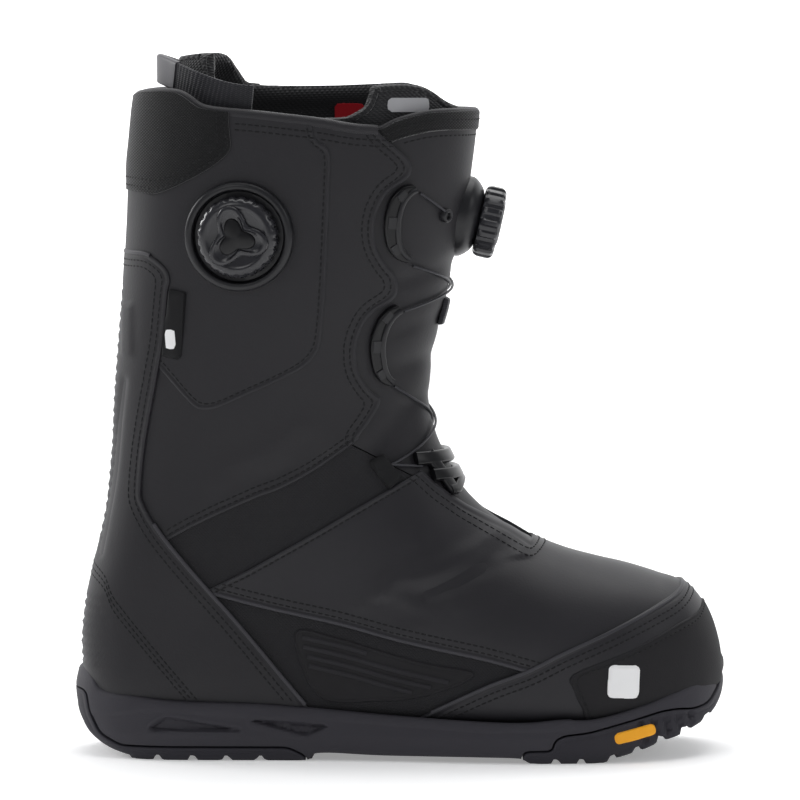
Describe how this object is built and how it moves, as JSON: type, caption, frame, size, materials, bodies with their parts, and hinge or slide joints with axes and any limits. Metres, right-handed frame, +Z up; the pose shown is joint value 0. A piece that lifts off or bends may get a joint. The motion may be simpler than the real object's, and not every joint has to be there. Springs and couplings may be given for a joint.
{
  "type": "snowboard boot",
  "caption": "Right snowboard boot with a laced-wire shell, two closure dials, padded inner boot and a cupped, lugged rubber sole.",
  "frame": {"origin": "on the floor, at the middle of the box around the boot", "axes": "+X towards the toe, -Y towards the outer side of the foot, +Z up"},
  "size_m": [0.3056, 0.1236, 0.331],
  "materials": {
    "shell": "satin synthetic leather, near black",
    "lining": "dark knit lining",
    "midsole_foam": "matte moulded foam",
    "outsole_rubber": "matte rubber",
    "webbing": "ribbed woven webbing",
    "dial_plastic": "satin moulded plastic",
    "guide_plastic": "glossy black moulded plastic",
    "lace_wire": "coated steel wire"
  },
  "bodies": {
    "root": {"upper": "shell", "tongue": "shell", "liner": "lining", "insole": "lining", "midsole": "midsole_foam", "outsole_heel": "outsole_rubber", "outsole_forefoot": "outsole_rubber", "toe_cap": "shell", "heel_counter": "shell", "side_tag": "webbing", "side_dial_base": "dial_plastic", "side_dial_knob": "dial_plastic", "front_dial_base": "dial_plastic", "front_dial_knob": "dial_plastic", "upper_guide_lateral": "guide_plastic", "lower_guide_lateral": "guide_plastic", "side_loop_lateral": "webbing", "lace_top_lateral": "lace_wire", "upper_guide_medial": "guide_plastic", "lower_guide_medial": "guide_plastic", "side_loop_medial": "webbing", "lace_top_medial": "lace_wire", "tongue_tab": "webbing", "throat_guide": "guide_plastic", "lace_upper_cross": "lace_wire", "lace_lower_cross": "lace_wire", "pull_loop": "webbing"}
  },
  "joints": []
}
